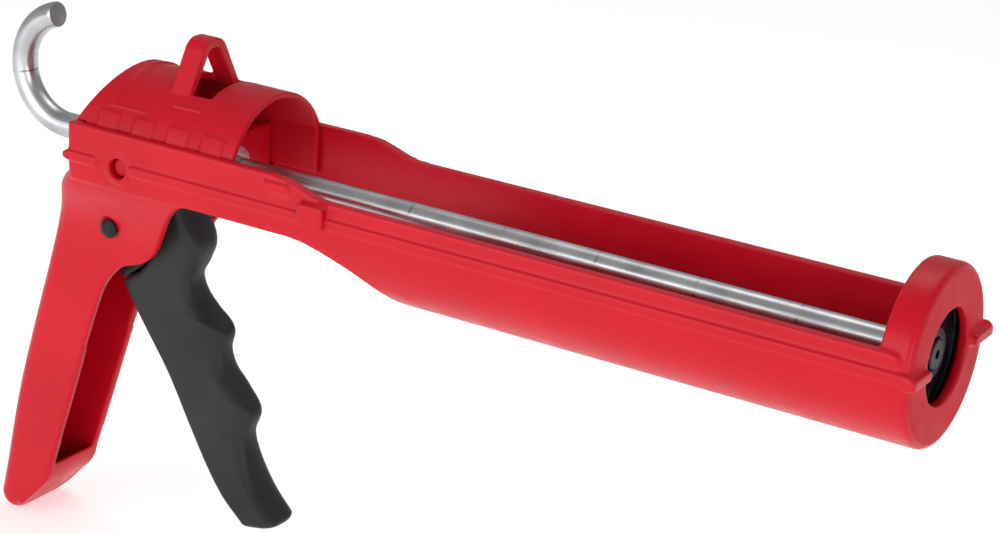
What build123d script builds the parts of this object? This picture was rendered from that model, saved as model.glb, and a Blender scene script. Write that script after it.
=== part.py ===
from build123d import *
import math
import os

# Caulking gun for 50 mm cartridges: moulded cradle and handle, hood, trigger drive, rod, piston.
# Millimetres. The rod runs along X through the origin, which is the centre of the nose bore on the
# front face. +X points out of the nose, +Z up, and the handle hangs down at the rear.

# Cradle and nose collar
SHELL_RADIUS = 28.5
SHELL_WALL = 3.3
BAY_RADIUS = SHELL_RADIUS - SHELL_WALL
WALL_TOP_FRONT = 8.4
WALL_TOP_REAR = 13.2
BELLY_CUT = -7.1
FLANK_HALF = 27.1
SPINE_ROUND = 4.7
COLLAR_LENGTH = 10.7
NOSE_WALL = 3.0
NOSE_BORE_RADIUS = 15.0
NOSE_ROUND = 2.4
SIDE_BAND_END = -3.4
BEAD_HEIGHT = 3.0
BEAD_PROUD = 1.0

# Housing, behind the cartridge bay
REAR_FACE = -310.0
REAR_INNER = -305.5
CHEEK_FRONT = -254.0
BULKHEAD_FRONT = -262.0
BULKHEAD_REAR = -266.0
BULKHEAD_HALF = 22.3
BULKHEAD_BOSS = 12.0

# Hood
HOOD_FRONT = -243.0
HOOD_RADIUS = 26.8
HOOD_CENTRE_Z = 3.3
HOOD_HALF = 24.8
HOOD_WALL = 2.2
SKIRT_BOTTOM = -3.5
WINDOW_REAR = -278.0
WINDOW_FRONT = -262.0
WINDOW_HALF = 12.0
LOOP_WIDTH = 8.0
LOOP_TOP = 43.9
LOOP_BASE_HALF = 14.7
LOOP_STRAP = 3.2
PEG_X = -288.3
PEG_Z = 0.9
PEG_RADIUS = 3.2
PEG_HOLE_RADIUS = 3.5

# Rod and piston
ROD_RADIUS = 4.5
ROD_FRONT = -12.0
SPIGOT_RADIUS = 3.0
SPIGOT_END = -4.8
HOOK_START = -334.0
HOOK_RADIUS = 20.0
HOOK_SWEEP = 167.0
PISTON_RADIUS = 21.5
PISTON_REAR = -11.2
PISTON_FRONT = -5.4
PISTON_FACE = -6.4
PISTON_WEB = -9.2
PISTON_RIM = 2.4
PISTON_HUB_RADIUS = 8.0
POCKET_CENTRE = 13.6
POCKET_RADIUS = 5.3
PISTON_HUB_FRONT = -4.0
SPOKES = 4
RUNNING = 0.05

# Trigger drive
PIVOT_X = -300.5
PIVOT_Z = -26.0
PIN_RADIUS = 2.5
CHEEK_AT_PIN = 17.6
THRUST_X = -299.0
THRUST_Z = -10.5
THRUST_RADIUS = 2.0
PLATE_THICK = 2.0
PLATE_REAR = -296.5
PLATE_HALF = 9.0
PLATE_TOP = 12.0
PLATE_BOTTOM = -16.5
PLATE_HOLE = 4.9
TRIGGER_HALF = 9.0
LEVER_HALF = 6.0

# Brake at the rear
BRAKE_PIN_X = -312.0
BRAKE_PIN_Z = -14.0
BRAKE_PIN_RADIUS = 1.25
KNUCKLE_RADIUS = 2.75
BRAKE_HALF = 8.0
BRAKE_REAR = -314.5
BRAKE_THICK = 2.0
BRAKE_TOP = 14.0
SLOT_HALF = 8.4

# Bushes
BUSH_RADIUS = 6.5
BUSH_FLANGE_RADIUS = 8.5
BUSH_FLANGE = 1.5

os.makedirs("parts", exist_ok=True)


def write(part, name):
    """Label one finished piece and save it under its node name."""
    part.label = name
    export_step(part, f"parts/{name}.step")


def rod_sketch_plane(x):
    """Plane across the rod at x, with +Y to the right and +Z up."""
    return Plane.YZ.offset(x)


# --- frame: cradle, collar, housing and handle in one moulding ---------------------------------

# Trough: half a tube with straight walls, trimmed by its side profile.
with BuildPart() as trough:
    with BuildSketch(rod_sketch_plane(REAR_FACE)):
        Circle(SHELL_RADIUS)
        with Locations((0, WALL_TOP_REAR / 2)):
            Rectangle(2 * SHELL_RADIUS, WALL_TOP_REAR)
        with Locations((0, WALL_TOP_REAR + SHELL_RADIUS / 2)):
            Rectangle(2 * SHELL_RADIUS, SHELL_RADIUS, mode=Mode.SUBTRACT)
    extrude(amount=SIDE_BAND_END - REAR_FACE)
    with BuildSketch(Plane.XZ):
        with BuildLine():
            Polyline((-178, -SHELL_RADIUS), (SIDE_BAND_END, -SHELL_RADIUS), (SIDE_BAND_END, 5.4))
            TangentArc((SIDE_BAND_END, 5.4), (SIDE_BAND_END - 3, WALL_TOP_FRONT), tangent=(0, 1))
            Line((SIDE_BAND_END - 3, WALL_TOP_FRONT), (-200, WALL_TOP_FRONT))
            Spline(
                (-200, WALL_TOP_FRONT), (-212.5, 10.9), (-224, WALL_TOP_REAR),
                tangents=((-1, 0), (-1, 0)),
            )
            Polyline((-224, WALL_TOP_REAR), (REAR_FACE, WALL_TOP_REAR), (REAR_FACE, BELLY_CUT))
            Line((REAR_FACE, BELLY_CUT), (-219, BELLY_CUT))
            Spline(
                (-219, BELLY_CUT), (-205.6, -9.8), (-193, -15.6), (-185.5, -22), (-178, -SHELL_RADIUS),
                tangents=((1, 0), (1, -0.6)),
            )
        make_face()
    extrude(amount=40, both=True, mode=Mode.INTERSECT)

# Handle blank: its side outline cut by its width, which narrows downward.
with BuildPart() as handle:
    with BuildSketch(Plane.XZ):
        with BuildLine():
            Line((CHEEK_FRONT, BELLY_CUT), (-259, BELLY_CUT))
            Spline(
                (-259, BELLY_CUT), (-266, -9.6), (-273.2, -17), (-278.3, -24), (-283.5, -32.8),
                (-290, -37.8), (-297.5, -40.6), (-303.5, -46), (-311.2, -62.8), (-321.6, -93.9),
                (-331.5, -127.5), tangents=((-1, 0), (-0.32, -1)),
            )
            ThreePointArc((-331.5, -127.5), (-333.2, -132.8), (-336.6, -137.2))
            Line((-336.6, -137.2), (-347.6, -148.8))
            ThreePointArc((-347.6, -148.8), (-354.6, -148.9), (-357, -143))
            Spline(
                (-357, -143), (-348.8, -104.6), (-339.7, -70.9), (-332.3, -45.9), (-327.2, -29.1),
                (-323.4, -19.4), (-317.6, -9), (REAR_FACE, 0), tangents=((0.25, 1), (0.3, 1)),
            )
            Polyline((REAR_FACE, 0), (CHEEK_FRONT, 0), (CHEEK_FRONT, BELLY_CUT))
        make_face()
    extrude(amount=40, both=True)
    with BuildSketch(rod_sketch_plane(-360)):
        with BuildLine():
            Polyline((0, 0), (FLANK_HALF, 0), (FLANK_HALF, BELLY_CUT))
            Spline((FLANK_HALF, BELLY_CUT), (20.2, -19.5), (15, -40), tangents=((-0.3, -1), (-0.015, -1)))
            Polyline((15, -40), (13.3, -152), (0, -152), (0, 0))
        make_face()
        mirror(about=Plane.YZ)
    extrude(amount=120, mode=Mode.INTERSECT)
    # Rounded corners down the back.
    spine_edges = [
        edge for edge in handle.edges()
        if abs(edge.center().Y) > 9
        and edge.center().Z < -10
        and edge.center().X < -305.5 + 0.31 * edge.center().Z
    ]
    fillet(spine_edges, radius=SPINE_ROUND)

# Handle cavity: open at the front, closed by the spine behind and by the foot below.
with BuildPart() as handle_cavity:
    with BuildSketch(Plane.XZ):
        with BuildLine():
            Polyline((REAR_INNER, 2), (REAR_INNER, -18), (-312, -20.5), (-322.8, -27.5))
            Spline(
                (-322.8, -27.5), (-328.8, -45.9), (-336.3, -70.9), (-345.4, -104.6), (-352, -136),
                tangents=((-0.3, -1), (-0.2, -1)),
            )
            Polyline(
                (-352, -136), (-350.6, -143.5), (-334, -128), (-320, -120), (-280, -100),
                (BULKHEAD_REAR, -30), (BULKHEAD_REAR, 2), (REAR_INNER, 2),
            )
        make_face()
    extrude(amount=40, both=True)
    with BuildSketch(rod_sketch_plane(-360)):
        with BuildLine():
            Polyline((0, 2), (FLANK_HALF - SHELL_WALL, 2), (FLANK_HALF - SHELL_WALL, BELLY_CUT))
            Spline(
                (FLANK_HALF - SHELL_WALL, BELLY_CUT), (16.9, -19.5), (11.9, -40),
                tangents=((-0.3, -1), (-0.015, -1)),
            )
            Polyline((11.9, -40), (10.3, -152), (0, -152), (0, 2))
        make_face()
        mirror(about=Plane.YZ)
    extrude(amount=120, mode=Mode.INTERSECT)

with BuildPart() as frame:
    add(trough.part)
    add(handle.part)
    # Collar: a full ring that closes the front of the cradle.
    with BuildSketch(rod_sketch_plane(-COLLAR_LENGTH)):
        Circle(SHELL_RADIUS)
    extrude(amount=COLLAR_LENGTH)
    fillet(frame.edges().filter_by(GeomType.CIRCLE).sort_by(Axis.X)[-1], radius=NOSE_ROUND)
    # Cartridge bay, open above, running on under the collar.
    with BuildSketch(rod_sketch_plane(BULKHEAD_FRONT)):
        Circle(BAY_RADIUS)
        with Locations((0, 20)):
            Rectangle(2 * BAY_RADIUS, 40)
    extrude(amount=-COLLAR_LENGTH - BULKHEAD_FRONT, mode=Mode.SUBTRACT)
    with BuildSketch(rod_sketch_plane(-COLLAR_LENGTH)):
        Circle(BAY_RADIUS)
    extrude(amount=COLLAR_LENGTH - NOSE_WALL, mode=Mode.SUBTRACT)
    # Housing, open above where the hood closes it.
    with BuildSketch(rod_sketch_plane(REAR_INNER)):
        Circle(BAY_RADIUS)
        with Locations((0, 20)):
            Rectangle(2 * BAY_RADIUS, 40)
        with Locations((0, BELLY_CUT - 15)):
            Rectangle(2 * BAY_RADIUS, 30, mode=Mode.SUBTRACT)
    extrude(amount=BULKHEAD_FRONT - REAR_INNER, mode=Mode.SUBTRACT)
    add(handle_cavity.part, mode=Mode.SUBTRACT)
    # Bulkhead with the front bush boss, joined to the walls below the hood's skirts.
    with BuildSketch(rod_sketch_plane(BULKHEAD_REAR)):
        Circle(BULKHEAD_BOSS)
        with Locations((0, 2)):
            Rectangle(2 * BULKHEAD_HALF, 18.2)
        with Locations((0, -5.75)):
            Rectangle(2 * BAY_RADIUS + 0.6, 2.7)
    extrude(amount=BULKHEAD_FRONT - BULKHEAD_REAR)
    # Side beads, their bars across the nose face, and the square lugs on the sides.
    for side in (-1, 1):
        with BuildSketch(Plane.XZ.offset(-side * (SHELL_RADIUS - 1))):
            with Locations((-140.5, BEAD_HEIGHT / 2)):
                RectangleRounded(285, BEAD_HEIGHT, 1.4)
            with Locations((-304.5, BEAD_HEIGHT / 2)):
                RectangleRounded(15, BEAD_HEIGHT, 1.4)
        extrude(amount=-side * (1 + BEAD_PROUD))
        with BuildSketch(Plane.XZ.offset(-side * (SHELL_RADIUS - 1))):
            with Locations((-207, 3.5)):
                RectangleRounded(10.2, 7.4, 0.8)
        extrude(amount=-side * 4.5)
        with BuildSketch(rod_sketch_plane(-2)):
            with Locations((side * 23.2, 0.2)):
                RectangleRounded(13.4, 3.6, 1.7)
        extrude(amount=4.4)
        # Ring round the hood peg's hole.
        with BuildSketch(Plane((PEG_X, side * (SHELL_RADIUS - 1), PEG_Z), x_dir=(1, 0, 0), z_dir=(0, side, 0))):
            Circle(5.2)
        extrude(amount=1.4)
    # Bores: nose, rod bushes, hood pegs, trigger pin.
    with Locations(Plane.YZ):
        Hole(NOSE_BORE_RADIUS, depth=6)
    with BuildSketch(rod_sketch_plane(BULKHEAD_REAR - 1)):
        Circle(BUSH_RADIUS)
    extrude(amount=6, mode=Mode.SUBTRACT)
    with BuildSketch(rod_sketch_plane(REAR_FACE - 1)):
        Circle(BUSH_RADIUS)
    extrude(amount=6, mode=Mode.SUBTRACT)
    with BuildSketch(Plane.XZ):
        with Locations((PEG_X, PEG_Z)):
            Circle(PEG_HOLE_RADIUS)
        with Locations((PIVOT_X, PIVOT_Z)):
            Circle(PIN_RADIUS)
    extrude(amount=40, both=True, mode=Mode.SUBTRACT)
    # Flats that seat the pin's head and its clip.
    for side in (-1, 1):
        with BuildSketch(Plane((PIVOT_X, side * CHEEK_AT_PIN, PIVOT_Z), x_dir=(1, 0, 0), z_dir=(0, side, 0))):
            Circle(4.4)
        extrude(amount=5, mode=Mode.SUBTRACT)
    # Slot for the brake plate's knuckle, and the hole for its pin.
    with BuildSketch(Plane.XZ):
        with BuildLine():
            Polyline(
                (-330, 12), (REAR_FACE, 12), (REAR_FACE, -4), (-308.6, -10), (-308.6, -17.4),
                (-330, -17.4), (-330, 12),
            )
        make_face()
    extrude(amount=SLOT_HALF, both=True, mode=Mode.SUBTRACT)
    with BuildSketch(Plane.XZ):
        with Locations((BRAKE_PIN_X, BRAKE_PIN_Z)):
            Circle(BRAKE_PIN_RADIUS)
    extrude(amount=13, both=True, mode=Mode.SUBTRACT)
write(frame.part, "frame")

# --- hood ---------------------------------------------------------------------------------------

with BuildPart() as hood:
    with BuildSketch(rod_sketch_plane(REAR_FACE)):
        with Locations((0, HOOD_CENTRE_Z)):
            Circle(HOOD_RADIUS)
        with Locations((0, 0)):
            Rectangle(2 * HOOD_HALF, 24)
        with Locations((0, SKIRT_BOTTOM - 20)):
            Rectangle(60, 40, mode=Mode.SUBTRACT)
        with Locations((HOOD_HALF + 10, 0), (-HOOD_HALF - 10, 0)):
            Rectangle(20, 60, mode=Mode.SUBTRACT)
    extrude(amount=HOOD_FRONT - REAR_FACE)
    with BuildSketch(Plane.XZ):
        with BuildLine():
            Polyline(
                (REAR_INNER + 0.3, -10), (REAR_INNER + 0.3, WALL_TOP_REAR + 0.2),
                (-309.2, WALL_TOP_REAR + 0.2), (-300.4, 31), (HOOD_FRONT, 31), (HOOD_FRONT, -10),
                (REAR_INNER + 0.3, -10),
            )
        make_face()
    extrude(amount=40, both=True, mode=Mode.INTERSECT)
    # Hollow underneath, with the end wall left at the rear.
    with BuildSketch(rod_sketch_plane(REAR_FACE)):
        with Locations((0, HOOD_CENTRE_Z)):
            Circle(HOOD_RADIUS - HOOD_WALL)
        with Locations((0, -5)):
            Rectangle(2 * (HOOD_HALF - HOOD_WALL), 24)
        with Locations((HOOD_HALF - HOOD_WALL + 10, 0), (HOOD_WALL - HOOD_HALF - 10, 0)):
            Rectangle(20, 60, mode=Mode.SUBTRACT)
    hollow = extrude(amount=80, mode=Mode.PRIVATE)
    with BuildSketch(Plane.XZ):
        with BuildLine():
            Polyline(
                (REAR_FACE, -30), (REAR_FACE, 12.4), (-303.2, 12.4), (-297.6, 29), (HOOD_FRONT + 5, 29),
                (HOOD_FRONT + 5, -30), (REAR_FACE, -30),
            )
        make_face()
    limits = extrude(amount=40, both=True, mode=Mode.PRIVATE)
    add(hollow & limits, mode=Mode.SUBTRACT)
    # Window under the ladder loop, and the loop.
    with BuildSketch(Plane.XY.offset(20)):
        with Locations(((WINDOW_REAR + WINDOW_FRONT) / 2, 0)):
            Rectangle(WINDOW_FRONT - WINDOW_REAR, 2 * WINDOW_HALF)
    extrude(amount=20, mode=Mode.SUBTRACT)
    with BuildSketch(rod_sketch_plane(WINDOW_REAR)):
        with BuildLine() as loop_outside:
            FilletPolyline(
                (LOOP_BASE_HALF, 24.8), (4.6, LOOP_TOP), (-4.6, LOOP_TOP), (-LOOP_BASE_HALF, 24.8),
                radius=6,
            )
            Line((-LOOP_BASE_HALF, 24.8), (LOOP_BASE_HALF, 24.8))
        make_face()
        with BuildLine() as loop_inside:
            FilletPolyline(
                (LOOP_BASE_HALF - 2.7, 24), (2.4, LOOP_TOP - LOOP_STRAP),
                (-2.4, LOOP_TOP - LOOP_STRAP), (2.7 - LOOP_BASE_HALF, 24), radius=2.6,
            )
            Line((2.7 - LOOP_BASE_HALF, 24), (LOOP_BASE_HALF - 2.7, 24))
        make_face(mode=Mode.SUBTRACT)
    extrude(amount=LOOP_WIDTH)
    # Pegs that snap into the frame's side holes.
    for side in (-1, 1):
        with BuildSketch(Plane((PEG_X, side * (HOOD_HALF - 0.5), PEG_Z), x_dir=(1, 0, 0), z_dir=(0, side, 0))):
            Circle(PEG_RADIUS)
        extrude(amount=2.4)
write(hood.part, "hood")

# --- rod, piston and its fastening --------------------------------------------------------------

with BuildPart() as rod:
    with BuildLine() as rod_path:
        Line((ROD_FRONT, 0, 0), (HOOK_START, 0, 0))
        hook_end = math.radians(270 - HOOK_SWEEP)
        hook_middle = math.radians(270 - HOOK_SWEEP / 2)
        ThreePointArc(
            (HOOK_START, 0, 0),
            (HOOK_START + HOOK_RADIUS * math.cos(hook_middle), 0, HOOK_RADIUS * (1 + math.sin(hook_middle))),
            (HOOK_START + HOOK_RADIUS * math.cos(hook_end), 0, HOOK_RADIUS * (1 + math.sin(hook_end))),
        )
    with BuildSketch(rod_sketch_plane(ROD_FRONT)):
        Circle(ROD_RADIUS)
    sweep(path=rod_path.wires()[0])
    with BuildSketch(rod_sketch_plane(ROD_FRONT)):
        Circle(SPIGOT_RADIUS)
    extrude(amount=SPIGOT_END - ROD_FRONT)
    with BuildSketch(rod_sketch_plane(SPIGOT_END)):
        Circle(1.6)
    extrude(amount=-16, mode=Mode.SUBTRACT)
write(rod.part, "rod")

with BuildPart() as piston:
    with BuildSketch(rod_sketch_plane(PISTON_REAR)):
        Circle(PISTON_RADIUS)
    extrude(amount=PISTON_FACE - PISTON_REAR)
    with BuildSketch(rod_sketch_plane(PISTON_REAR)):
        Circle(PISTON_RADIUS)
        Circle(PISTON_RADIUS - PISTON_RIM, mode=Mode.SUBTRACT)
    extrude(amount=PISTON_FRONT - PISTON_REAR)
    with BuildSketch(rod_sketch_plane(PISTON_REAR)):
        Circle(PISTON_HUB_RADIUS)
    extrude(amount=PISTON_HUB_FRONT - PISTON_REAR)
    # Round pockets between the four spokes, leaving a thin web.
    with BuildSketch(rod_sketch_plane(PISTON_WEB)):
        with PolarLocations(POCKET_CENTRE, SPOKES):
            Circle(POCKET_RADIUS)
    extrude(amount=8, mode=Mode.SUBTRACT)
    # Bore for the rod's spigot, and a seat for the screw head.
    with BuildSketch(rod_sketch_plane(PISTON_REAR - 1)):
        Circle(SPIGOT_RADIUS + RUNNING)
    extrude(amount=12, mode=Mode.SUBTRACT)
    with BuildSketch(rod_sketch_plane(SPIGOT_END - 0.1)):
        Circle(5.2)
    extrude(amount=5, mode=Mode.SUBTRACT)
write(piston.part, "piston")

with BuildPart() as piston_washer:
    with BuildSketch(rod_sketch_plane(PISTON_REAR - 0.8)):
        Circle(7.5)
        Circle(SPIGOT_RADIUS + RUNNING, mode=Mode.SUBTRACT)
    extrude(amount=0.75)
write(piston_washer.part, "piston_washer")

with BuildPart() as piston_screw:
    with BuildSketch(rod_sketch_plane(SPIGOT_END)):
        Circle(4.8)
    extrude(amount=1.6)
    with BuildSketch(rod_sketch_plane(SPIGOT_END)):
        Circle(1.55)
    extrude(amount=-12)
    with BuildSketch(rod_sketch_plane(SPIGOT_END + 0.5)):
        RegularPolygon(1.6, 6)
    extrude(amount=3, mode=Mode.SUBTRACT)
write(piston_screw.part, "piston_screw")

# --- rod guides -----------------------------------------------------------------------------------

for bush_name, flange_x, sleeve_x, sleeve_length in (
    ("front_bush", BULKHEAD_FRONT, BULKHEAD_REAR, BULKHEAD_FRONT - BULKHEAD_REAR),
    ("rear_bush", REAR_INNER, REAR_FACE, REAR_INNER - REAR_FACE),
):
    with BuildPart() as bush:
        with BuildSketch(rod_sketch_plane(sleeve_x)):
            Circle(BUSH_RADIUS)
        extrude(amount=sleeve_length)
        with BuildSketch(rod_sketch_plane(flange_x)):
            Circle(BUSH_FLANGE_RADIUS)
        extrude(amount=BUSH_FLANGE)
        with BuildSketch(rod_sketch_plane(sleeve_x - 1)):
            Circle(ROD_RADIUS + RUNNING)
        extrude(amount=10, mode=Mode.SUBTRACT)
    write(bush.part, bush_name)

# --- trigger --------------------------------------------------------------------------------------

# Tail of the lever, in side view, that fills the pocket in the grip.
TAIL_OUTLINE = (
    (-296.4, -43.6), (-286.9, -31.4), (-281.5, -40), (-272.5, -80), (-276.5, -81), (-288.5, -57),
    (-296.4, -43.6),
)

with BuildPart() as trigger_grip:
    with BuildSketch(Plane.XZ):
        with BuildLine():
            Polyline((-301, -48), (-292.5, -41.2), (-286, -31), (-284, -17))
            ThreePointArc((-284, -17), (-281.5, -13), (-277, -13.2))
            Spline(
                (-277, -13.2), (-272, -24), (-272.4, -32), (-275.4, -40), (-274, -48), (-268.6, -54.5),
                (-263.4, -59.5), (-264, -67), (-260.8, -74.5), (-255.5, -80.5), (-252, -86.5),
                (-252, -96), (-249, -107), (-243.8, -116), (-235.2, -124.3),
                tangents=((1, -1.2), (1, -0.8)),
            )
            ThreePointArc((-235.2, -124.3), (-241.5, -128.3), (-248.4, -125.2))
            Spline(
                (-248.4, -125.2), (-260.4, -113.1), (-271.8, -93.3), (-283.2, -73.5), (-292.3, -60.8),
                (-301, -48), tangents=((-1, 0.9), (-0.56, 0.83)),
            )
        make_face()
    extrude(amount=TRIGGER_HALF, both=True)
    # Pocket for the lever's tail.
    with BuildSketch(Plane.XZ):
        with BuildLine():
            Polyline(*TAIL_OUTLINE)
        make_face()
        offset(amount=0.1, kind=Kind.INTERSECTION)
    extrude(amount=LEVER_HALF + 0.1, both=True, mode=Mode.SUBTRACT)
write(trigger_grip.part, "trigger_grip")

with BuildPart() as trigger_lever:
    # Block at the pivot, as wide as the grip.
    with BuildSketch(Plane.XZ):
        with BuildLine():
            Polyline(
                (-306, -27), (-304.6, -43), (-301.5, -47.2), (-293, -40.5), (-286.7, -30.8),
                (-285.4, -23), (-296, -20.5), (-304.5, -20.5), (-306, -27),
            )
        make_face()
    extrude(amount=TRIGGER_HALF, both=True)
    # Arm up to the drive plates, and the tail inside the grip.
    with BuildSketch(Plane.XZ):
        with BuildLine():
            Polyline(
                (-302.6, -7.4), (-299.4, -7.4), (-297.6, -9.2), (-297.6, -15.5), (-294.5, -24),
                (-304.5, -24), (-302.6, -7.4),
            )
        make_face()
        with BuildLine():
            Polyline(*TAIL_OUTLINE)
        make_face()
    extrude(amount=LEVER_HALF, both=True)
    # Bosses beside the pivot.
    with BuildSketch(Plane.XZ):
        with Locations((PIVOT_X, PIVOT_Z)):
            Circle(5.6)
    extrude(amount=12.5, both=True)
    # Slot over the thrust pin's middle, and the bores.
    with BuildSketch(Plane.XZ):
        with Locations((PIVOT_X, PIVOT_Z)):
            Circle(PIN_RADIUS + RUNNING)
        with Locations((THRUST_X, THRUST_Z)):
            Circle(THRUST_RADIUS)
    extrude(amount=20, both=True, mode=Mode.SUBTRACT)
    with BuildSketch(Plane.XZ):
        with Locations((THRUST_X, -9)):
            Rectangle(12, 8)
    extrude(amount=3.5, both=True, mode=Mode.SUBTRACT)
write(trigger_lever.part, "trigger_lever")

with BuildPart() as thrust_pin:
    with BuildSketch(Plane.XZ):
        with Locations((THRUST_X, THRUST_Z)):
            Circle(THRUST_RADIUS)
    extrude(amount=LEVER_HALF + 0.8, both=True)
write(thrust_pin.part, "thrust_pin")

with BuildPart() as pivot_pin:
    with BuildSketch(Plane.XZ):
        with Locations((PIVOT_X, PIVOT_Z)):
            Circle(PIN_RADIUS)
    extrude(amount=CHEEK_AT_PIN + 1.6, both=True)
    with BuildSketch(Plane.XZ.offset(CHEEK_AT_PIN)):
        with Locations((PIVOT_X, PIVOT_Z)):
            Circle(3.4)
    extrude(amount=1.8)
write(pivot_pin.part, "pivot_pin")

with BuildPart() as pin_clip:
    with BuildSketch(Plane.XZ.offset(-CHEEK_AT_PIN)):
        with Locations((PIVOT_X, PIVOT_Z)):
            Circle(4.1)
            Circle(PIN_RADIUS, mode=Mode.SUBTRACT)
    extrude(amount=-0.8)
write(pin_clip.part, "pin_clip")

# --- drive plates, spring and washer --------------------------------------------------------------

for plate_name, plate_x in (
    ("drive_plate_rear", PLATE_REAR),
    ("drive_plate_front", PLATE_REAR + PLATE_THICK),
):
    with BuildPart() as drive_plate:
        with BuildSketch(rod_sketch_plane(plate_x)):
            with Locations((0, (PLATE_TOP + PLATE_BOTTOM) / 2)):
                RectangleRounded(2 * PLATE_HALF, PLATE_TOP - PLATE_BOTTOM, 2)
            Circle(PLATE_HOLE, mode=Mode.SUBTRACT)
        extrude(amount=PLATE_THICK)
    write(drive_plate.part, plate_name)

with BuildPart() as spring_washer:
    with BuildSketch(rod_sketch_plane(BULKHEAD_REAR - 1)):
        Circle(10)
        Circle(ROD_RADIUS + 0.6, mode=Mode.SUBTRACT)
    extrude(amount=1)
write(spring_washer.part, "spring_washer")


def coil(start, length, radius, wire, turns):
    """Open helix round the rod, starting at x = start."""
    with BuildPart() as spring:
        with BuildLine() as helix:
            Helix(pitch=length / turns, height=length, radius=radius, center=(start, 0, 0), direction=(1, 0, 0))
        with BuildSketch(Plane(origin=helix.line @ 0, z_dir=helix.line % 0)):
            Circle(wire)
        sweep(path=helix.line, is_frenet=True)
    return spring.part


DRIVE_WIRE = 0.8
drive_start = PLATE_REAR + 2 * PLATE_THICK + DRIVE_WIRE + 0.1
drive_length = BULKHEAD_REAR - 1 - DRIVE_WIRE - 0.1 - drive_start
write(coil(drive_start, drive_length, 6.8, DRIVE_WIRE, 8), "drive_spring")

BRAKE_WIRE = 0.4
brake_start = BRAKE_REAR + BRAKE_THICK + BRAKE_WIRE + 0.05
brake_length = REAR_FACE - BRAKE_WIRE - 0.05 - brake_start
write(coil(brake_start, brake_length, 5.8, BRAKE_WIRE, 1.5), "brake_spring")

# --- brake ----------------------------------------------------------------------------------------

with BuildPart() as brake_plate:
    with BuildSketch(Plane.XZ):
        with Locations((BRAKE_PIN_X, BRAKE_PIN_Z)):
            Circle(KNUCKLE_RADIUS)
        with BuildLine():
            Polyline(
                (BRAKE_REAR, BRAKE_PIN_Z), (BRAKE_REAR, BRAKE_TOP - BRAKE_THICK), (-316.6, BRAKE_TOP - 1.4),
                (-316.4, BRAKE_TOP + 0.4), (BRAKE_REAR + BRAKE_THICK, BRAKE_TOP),
                (BRAKE_REAR + BRAKE_THICK, BRAKE_PIN_Z), (BRAKE_REAR, BRAKE_PIN_Z),
            )
        make_face()
        with Locations((BRAKE_PIN_X, BRAKE_PIN_Z)):
            Circle(BRAKE_PIN_RADIUS + RUNNING, mode=Mode.SUBTRACT)
    extrude(amount=BRAKE_HALF, both=True)
    with BuildSketch(rod_sketch_plane(BRAKE_REAR - 0.5)):
        Circle(PLATE_HOLE)
    extrude(amount=4, mode=Mode.SUBTRACT)
write(brake_plate.part, "brake_plate")

with BuildPart() as brake_pin:
    with BuildSketch(Plane.XZ):
        with Locations((BRAKE_PIN_X, BRAKE_PIN_Z)):
            Circle(BRAKE_PIN_RADIUS)
    extrude(amount=12.9, both=True)
write(brake_pin.part, "brake_pin")
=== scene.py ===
import math

import bmesh
import bpy
import numpy as np
from mathutils import Matrix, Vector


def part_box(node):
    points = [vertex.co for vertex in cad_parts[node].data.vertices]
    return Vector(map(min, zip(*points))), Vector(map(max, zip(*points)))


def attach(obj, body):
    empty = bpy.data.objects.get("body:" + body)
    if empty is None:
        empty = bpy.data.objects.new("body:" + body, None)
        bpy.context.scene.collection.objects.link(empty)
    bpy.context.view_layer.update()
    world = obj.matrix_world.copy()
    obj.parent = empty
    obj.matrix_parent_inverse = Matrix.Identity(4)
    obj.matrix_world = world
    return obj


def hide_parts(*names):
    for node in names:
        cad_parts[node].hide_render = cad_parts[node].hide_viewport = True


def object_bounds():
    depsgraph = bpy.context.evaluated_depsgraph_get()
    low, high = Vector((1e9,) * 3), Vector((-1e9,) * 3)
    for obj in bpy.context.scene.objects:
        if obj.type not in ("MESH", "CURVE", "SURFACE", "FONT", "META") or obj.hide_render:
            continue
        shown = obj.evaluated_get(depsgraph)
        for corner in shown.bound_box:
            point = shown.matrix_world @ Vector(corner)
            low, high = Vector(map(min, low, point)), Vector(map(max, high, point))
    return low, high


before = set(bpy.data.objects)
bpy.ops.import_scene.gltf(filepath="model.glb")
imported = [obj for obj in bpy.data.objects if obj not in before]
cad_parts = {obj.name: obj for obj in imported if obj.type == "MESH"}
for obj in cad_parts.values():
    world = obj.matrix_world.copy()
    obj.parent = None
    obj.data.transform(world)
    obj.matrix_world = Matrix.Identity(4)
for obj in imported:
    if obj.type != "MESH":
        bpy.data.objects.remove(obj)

cad_box = [list(corner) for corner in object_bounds()]

# ------------------------------------------------------------------------------------------------
# Frame: the cradle, nose collar, housing and handle, one injection moulding in red polypropylene.
# The mould leaves every corner with a small radius, a fine orange-peel skin and two raised marks
# on each side behind the square lug. Its flat nose face is left more matt.
MM = 0.001
WELD = 0.002
AVERAGING = 0.5
MARK_X = (-227.0, -217.0)
UPPER_MARK_Z = (9.0, 11.0)
LOWER_MARK_Z = (4.6, 7.0)
UPPER_MARK_RISE = 1.1
LOWER_MARK_RISE = 0.4
WALL_FACE_Y = 28.0
MARK_FACING = 0.8
FRAME_VOXEL = 0.60
FRAME_PASSES = 6
FRAME_TRIANGLES = 190_000
NOSE_FACING = 0.96
NOSE_DEPTH = 0.6
BODY_RED = (0.60, 0.003, 0.017)
BODY_RED_DEEP = (0.53, 0.002, 0.013)
PLASTIC_IOR = 1.49
PLASTIC_SPECULAR = 0.25
NOSE_SPECULAR = 0.08


def positions(mesh):
    """Vertex positions of a mesh as an (n, 3) array in millimetres."""
    flat = np.empty(len(mesh.vertices) * 3)
    mesh.vertices.foreach_get("co", flat)
    return flat.reshape(-1, 3) / MM


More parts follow.
